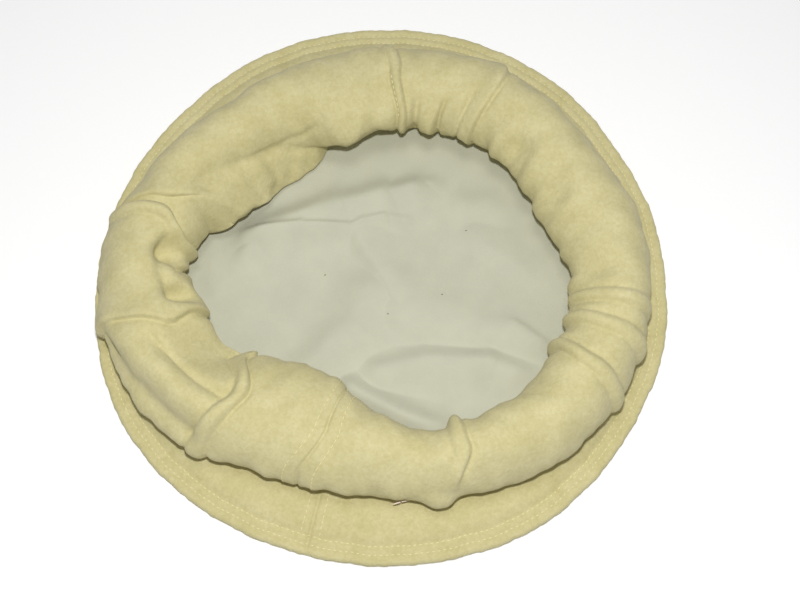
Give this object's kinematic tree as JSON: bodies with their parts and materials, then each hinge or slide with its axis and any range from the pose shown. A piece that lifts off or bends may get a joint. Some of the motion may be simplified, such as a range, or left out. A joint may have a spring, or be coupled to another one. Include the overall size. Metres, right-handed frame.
{
  "type": "pakol hat with rolled brim",
  "caption": "Soft round felt hat lying on its flat crown, with a thick rolled brim round the head opening and a cotton lining.",
  "frame": {"origin": "centre of the crown's outer face, which the hat lies on", "axes": "+Z from the crown's outer face towards the head opening, +X to the right and +Y away from the viewer of the picture"},
  "size_m": [0.277, 0.279, 0.0501],
  "materials": {
    "felt": "cream wool felt, matt with a short nap",
    "cotton": "off-white plain cotton, matt"
  },
  "bodies": {
    "root": {"crown": "felt", "rolled_band": "felt", "lining": "cotton"}
  },
  "joints": []
}
